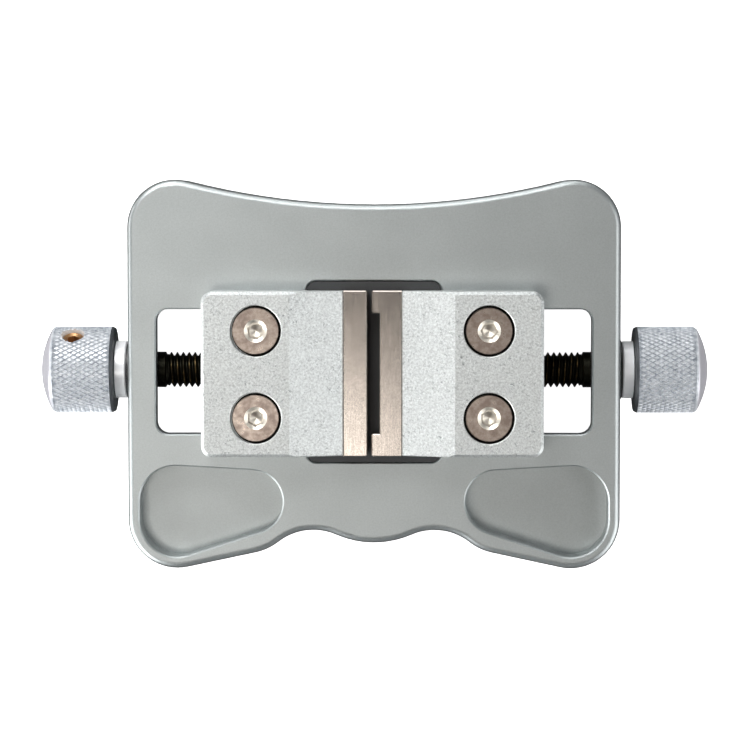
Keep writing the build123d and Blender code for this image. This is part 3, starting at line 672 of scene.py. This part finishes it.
class ScrewSettings(bpy.types.PropertyGroup):
    pitch_m4: length("M4 pitch", "Thread pitch of the jaw screws and set screws", 0.7)
    key_m4: length("Jaw screw key", "Hexagon socket of the jaw screws, across flats", 2.5)
    key_set: length("Set screw key", "Hexagon socket of the set screws, across flats", 2.0)
    land: length("Land", "Straight rim of a jaw screw's head", 0.35)
    seat: length("Seat", "Top of a jaw screw's head to where its cone meets the jaw", 0.85)
    set_length: length("Set screw length", "Point to socket end of the set screws", 4.2)
    set_sink: length("Set screw sink", "Outside of the knob to the socket end of its set screw", 1.2)
    small_head: length("Small head", "Head radius of the insert screws", 1.9)
    pitch_m2: length("M2 pitch", "Thread pitch of the insert screws", 0.4)
    key_m2: length("Insert screw key", "Hexagon socket of the insert screws, across flats", 1.3)
    pad_head: length("Pad screw head", "Head radius of the pad screws", 1.55)
    pitch_pad: length("M1.6 pitch", "Thread pitch of the pad screws", 0.35)
    key_pad: length("Pad screw key", "Hexagon socket of the pad screws, across flats", 1.0)
    steps: count("Steps", "Steps in one turn of a screw", 36)


def socket_screw(head, thread, total, pitch, key, key_depth, steps, point=POINT, rim=()):
    """A socket screw along X with its top at the origin: countersunk, or a set screw if it has no head.

    The rim's (along, radius) points stand between the head's edge and its thread, and the point is a cone.
    """
    depth, run_out = 0.6 * pitch, 0.3 * pitch
    sink = head - thread
    edge = HEAD_EDGE if sink > 0 else SET_EDGE
    top = [(0, 0), (0, head - edge), (-edge, head - (edge if sink > 0 and not rim else 0)), *rim]
    if sink > 0:
        top += [(-sink, thread), (-sink - run_out, thread)]
    ring = top[-1][0]
    tip_start = -total + point
    tip = [(tip_start, thread - 0.3 * depth), (-total, thread - point), (-total, 0)]
    bm = bmesh.new()
    turned(bm, top, steps)
    turned(bm, tip, steps)
    threaded(bm, tip_start + run_out, ring - run_out, pitch, thread, depth, steps)
    bridge(bm, ring, ring - run_out)
    bridge(bm, tip_start, tip_start + run_out)
    bmesh.ops.recalc_face_normals(bm, faces=bm.faces[:])
    screw = as_object(bm, "screw_blank")
    # The hexagon, the drill's cone that is left under it, and the chamfer round its mouth
    corner = key / math.sqrt(3)
    hexagon = cone("hexagon", 6, -key_depth, 0.5 * MM, corner, corner)
    drill = cone("drill", 24, -key_depth - 0.12 * key, -key_depth + 0.02 * key,
                 start_radius=0.05 * key, stop_radius=0.47 * key)
    mouth = cone("mouth", 48, -0.25 * corner, 0.15 * corner,
                 start_radius=0.9 * corner, stop_radius=1.55 * corner)
    cut(screw, hexagon, drill, mouth)
    mesh = screw.data
    bpy.data.objects.remove(screw)
    # The socket's floor and mouth, which face upwards, take the second material: a painted highlight on the
    # jaw screws
    for face in mesh.polygons:
        off = math.hypot(face.center.y, face.center.z)
        in_socket = off < 1.5 * corner and -1.5 * key_depth < face.center.x < -1e-3 * MM
        face.material_index = int(in_socket and face.normal.x > 0.3)
    return mesh


def place_screws(mesh, name, material, body, slot, node, places, socket_finish=None):
    """One piece that holds a copy of the screw at each place."""
    bm = bmesh.new()
    for place in places:
        old = set(bm.verts)
        bm.from_mesh(mesh)
        bmesh.ops.transform(bm, matrix=place, verts=[v for v in bm.verts if v not in old])
    made = piece(name, bm, material, body, slot, node, sharp_degrees=14)
    made.data.materials.append(socket_finish or material)
    return made


class VISE_OT_screws(bpy.types.Operator):
    """Makes the jaw screws, insert screws and pad screws, all countersunk with hexagon sockets"""
    bl_idname = "vise.screws"
    bl_label = "Countersunk Screws"

    def execute(self, context):
        size = context.scene.vise_screws
        finish = context.scene.vise_finish
        steel = pickled_stainless(finish)
        # Painted highlight on the jaw screws' upward socket faces: pale, and satin rather than shiny
        bright = plain_finish("socket_painted_highlight", finish.socket,
                              metallic=1.0, roughness=0.42, spot=0.5, height=0.01)
        up = Vector((0, 0, 1))
        low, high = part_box("jaw_screws_left")
        head = (high.x - low.x) / 2
        rim = ((-size.land, head), (-size.seat, head - size.seat))
        jaw_screw = socket_screw(head, JAW_THREAD, high.z - low.z, size.pitch_m4, size.key_m4,
                                 key_depth=size.key_m4 / 2, steps=size.steps, rim=rim)
        low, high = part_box("pad_screws")
        pad_screw = socket_screw(size.pad_head, PAD_THREAD, high.z - low.z, size.pitch_pad, size.key_pad,
                                 key_depth=0.7 * size.key_pad, steps=size.steps)
        low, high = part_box("insert_screws_left")
        small = size.small_head
        insert_screw = socket_screw(small, INSERT_THREAD, high.x - low.x, size.pitch_m2, size.key_m2,
                                    key_depth=0.7 * size.key_m2, steps=size.steps)
        for side, inwards in (("left", 1), ("right", -1)):
            node = "jaw_screws_" + side
            low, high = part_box(node)
            places = [along(up, ((low.x + high.x) / 2, y, high.z), spin)
                      for y, spin in zip((low.y + head, high.y - head), SPINS[side])]
            place_screws(jaw_screw, node + "_socket", steel, side + "_jaw", "stainless", node, places, bright)
            node = "insert_screws_" + side
            low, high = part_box(node)
            face = high.x if inwards > 0 else low.x
            places = [along(Vector((inwards, 0, 0)), (face, y, (low.z + high.z) / 2))
                      for y in (low.y + small, high.y - small)]
            place_screws(insert_screw, node + "_socket", steel, side + "_jaw", "stainless", node, places)
        low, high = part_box("pad_screws")
        places = [along(up, (x, y, high.z)) for x in (low.x + size.pad_head, high.x - size.pad_head)
                  for y in (low.y + size.pad_head, high.y - size.pad_head)]
        place_screws(pad_screw, "pad_screws_socket", steel, "base", "stainless", "pad_screws", places)
        return {"FINISHED"}


class VISE_OT_set_screws(bpy.types.Operator):
    """Makes the copper-plated set screw in each knob"""
    bl_idname = "vise.set_screws"
    bl_label = "Set Screws"

    def execute(self, context):
        size = context.scene.vise_screws
        # Copper plating: brown and satin, patchily tarnished
        copper = plain_finish("copper_plated_steel", context.scene.vise_finish.copper,
                              metallic=0.9, roughness=0.42, spot=0.6, height=0.004)
        for side in ("left", "right"):
            node = "set_screw_" + side
            outward, foot = set_screw_line(node)
            low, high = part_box("knob_" + side)
            reach = (high.z - low.z) / 2 - size.set_sink
            mesh = socket_screw(SET_THREAD, SET_THREAD, size.set_length, size.pitch_m4, size.key_set,
                                key_depth=0.8 * size.key_set, steps=size.steps, point=SET_POINT)
            place_screws(mesh, node + "_socket", copper, "spindle", "set_screw_copper", node,
                         [along(outward, foot + outward * reach)])
        return {"FINISHED"}


# Studio ------------------------------------------------------------------------------------------

WHITE, WARM = (1, 1, 1), (1.0, 0.96, 0.91)
PALE_AIR = (0.94, 0.97, 1.0, 1)
MIDDLE = (0, 0, 0.015)      # about the middle of the vise
FLOOR_GAP = 0.02 * MM       # keeps the floor from touching the feet
FLOOR_HALF = 1.5


class StudioSettings(bpy.types.PropertyGroup):
    light: bpy.props.FloatProperty(
        name="Light", description="Multiplies every lamp and the glow of the walls", default=1.0, min=0)
    floor: colour("Floor", "White acrylic sheet under the vise", "f4f4f2")
    eye: bpy.props.FloatVectorProperty(
        name="Camera", description="Where the camera stands", default=(0.006, 0.029, 0.494),
        size=3, unit="LENGTH", subtype="XYZ")
    aim: bpy.props.FloatVectorProperty(
        name="Aim", description="What the camera looks at", default=(0.0002, 0.0, 0.016),
        size=3, unit="LENGTH", subtype="XYZ")
    lens: bpy.props.FloatProperty(
        name="Lens", description="Focal length of the camera, in millimetres", default=138.4, min=1)


def softbox(name, place, size, radiance, aim=MIDDLE, tint=WHITE):
    """A rectangular soft light that faces the vise and isn't seen itself."""
    lamp = bpy.data.lights.new(name, "AREA")
    lamp.shape, lamp.size, lamp.size_y = "RECTANGLE", *size
    lamp.energy, lamp.color = math.pi * size[0] * size[1] * radiance, tint
    made = bpy.data.objects.new(name, lamp)
    made.location = place
    made.rotation_mode = "QUATERNION"
    made.rotation_quaternion = (Vector(aim) - Vector(place)).to_track_quat("-Z", "Y")
    made.visible_camera = False
    bpy.context.scene.collection.objects.link(made)


class VISE_OT_studio(bpy.types.Operator):
    """Makes the floor, the soft lights and the camera"""
    bl_idname = "vise.studio"
    bl_label = "Studio"

    def execute(self, context):
        studio = context.scene.vise_studio
        scene = context.scene
        bm = bmesh.new()
        under = Matrix.Translation((0, 0, -FLOOR_GAP))
        bmesh.ops.create_grid(bm, x_segments=1, y_segments=1, size=FLOOR_HALF, matrix=under)
        floor = as_object(bm, "studio_floor")
        # White acrylic lit from below: an even pale sheet that holds no hard shadow
        material, tree, _ = new_finish("backlit_white_acrylic")
        shader = add(tree, "BsdfPrincipled", {"Base Color": rgba(studio.floor), "Roughness": 0.6,
                                              "Emission Color": rgba(WHITE), "Emission Strength": 1.0})
        add(tree, "OutputMaterial", {"Surface": shader.outputs["BSDF"]})
        floor.data.materials.append(material)
        floor.visible_glossy = False

        world = bpy.data.worlds.new("studio_air")
        world.use_nodes = True
        tree = world.node_tree
        # Pale walls all round, a darker ceiling, and nearly dark below the table
        upwards = add(tree, "SeparateXYZ", {0: add(tree, "TexCoord").outputs["Generated"]}).outputs["Z"]
        glow = add(tree, "MapRange", {"Value": upwards, "From Min": 0.0, "From Max": 0.75,
                                      "To Min": 0.5 * studio.light, "To Max": 0.03 * studio.light})
        table = add(tree, "MapRange", {"Value": upwards, "From Min": -0.2, "From Max": 0.0,
                                       "To Min": 0.12, "To Max": 1.0})
        both = add(tree, "Math", {0: glow.outputs["Result"], 1: table.outputs["Result"]},
                   operation="MULTIPLY")
        tree.links.new(both.outputs[0], tree.nodes["Background"].inputs["Strength"])
        tree.nodes["Background"].inputs["Color"].default_value = PALE_AIR
        scene.world = world
        scene.view_settings.view_transform = "Standard"

        # Each lamp's name, place, size and radiance, then its aim and tint where they aren't the usual ones
        for name, place, size, radiance, *rest in (
                ("right_low", (0.75, 0.0, 0.27), (0.4, 0.4), 0.5),
                ("left_low", (-0.75, 0.1, 0.12), (0.6, 0.2), 4.0),
                ("back_low", (0.0, 0.75, 0.08), (0.6, 0.12), 4.5),
                ("right_high", (0.57, 0.0, 0.57), (0.4, 0.4), 2.9),
                ("front_left_low", (-0.53, -0.53, 0.27), (0.4, 0.4), 3.7),
                ("back_high", (0.0, 0.57, 0.57), (0.4, 0.4), 0.4),
                ("left_over", (-0.16, 0.02, 0.36), (0.14, 0.14), 0.8),
                ("left_knob", (-0.16, -0.09, 0.06), (0.12, 0.12), 5.0, (-0.049, 0.0, 0.01)),
                ("right_knob", (0.16, -0.09, 0.06), (0.12, 0.12), 2.6, (0.049, 0.0, 0.01)),
                ("back_left_near", (-0.10, 0.22, 0.22), (0.16, 0.16), 9.2),
                ("ceiling_left", (-0.175, -0.17, 1.0), (0.35, 0.20), 5.2, (-0.175, -0.17, 0), WARM)):
            softbox(name, place, size, radiance * studio.light, *rest)

        camera = bpy.data.objects.new("camera", bpy.data.cameras.new("camera"))
        ahead = (Vector(studio.aim) - Vector(studio.eye)).normalized()
        side = ahead.cross(Vector((0, 1, 0))).normalized()
        turn = Matrix((side, side.cross(ahead), -ahead)).transposed()
        camera.matrix_world = Matrix.Translation(studio.eye) @ turn.to_4x4()
        camera.data.lens = studio.lens
        camera.data.sensor_width = 36
        camera.data.clip_start = 0.01
        scene.collection.objects.link(camera)
        scene.camera = camera
        return {"FINISHED"}


# Add-on ------------------------------------------------------------------------------------------

class VISE_PT_panel(bpy.types.Panel):
    """Lists the vise's pieces and their sizes"""
    bl_idname = "VISE_PT_panel"
    bl_label = "Circuit Board Vise"
    bl_space_type = "VIEW_3D"
    bl_region_type = "UI"
    bl_category = "Vise"

    def draw(self, context):
        for operator in OPERATORS:
            self.layout.operator(operator.bl_idname)
        for name, group in SETTINGS.items():
            box = self.layout.box()
            for setting in group.__annotations__:
                box.prop(getattr(context.scene, name), setting)


OPERATORS = (VISE_OT_studio, VISE_OT_frame_finishes, VISE_OT_lead_screw, VISE_OT_knobs, VISE_OT_screws,
             VISE_OT_set_screws)
SETTINGS = {"vise_studio": StudioSettings, "vise_finish": FinishSettings,
            "vise_lead_screw": LeadScrewSettings, "vise_knobs": KnobSettings, "vise_screws": ScrewSettings}


def register():
    for made in (*SETTINGS.values(), *OPERATORS, VISE_PT_panel):
        bpy.utils.register_class(made)
    for name, group in SETTINGS.items():
        setattr(bpy.types.Scene, name, bpy.props.PointerProperty(type=group))


def unregister():
    for name in SETTINGS:
        delattr(bpy.types.Scene, name)
    for made in (VISE_PT_panel, *OPERATORS, *SETTINGS.values()):
        bpy.utils.unregister_class(made)


def main():
    register()
    for operator in OPERATORS:
        group, name = operator.bl_idname.split(".")
        getattr(getattr(bpy.ops, group), name)()


if __name__ == "__main__":
    main()
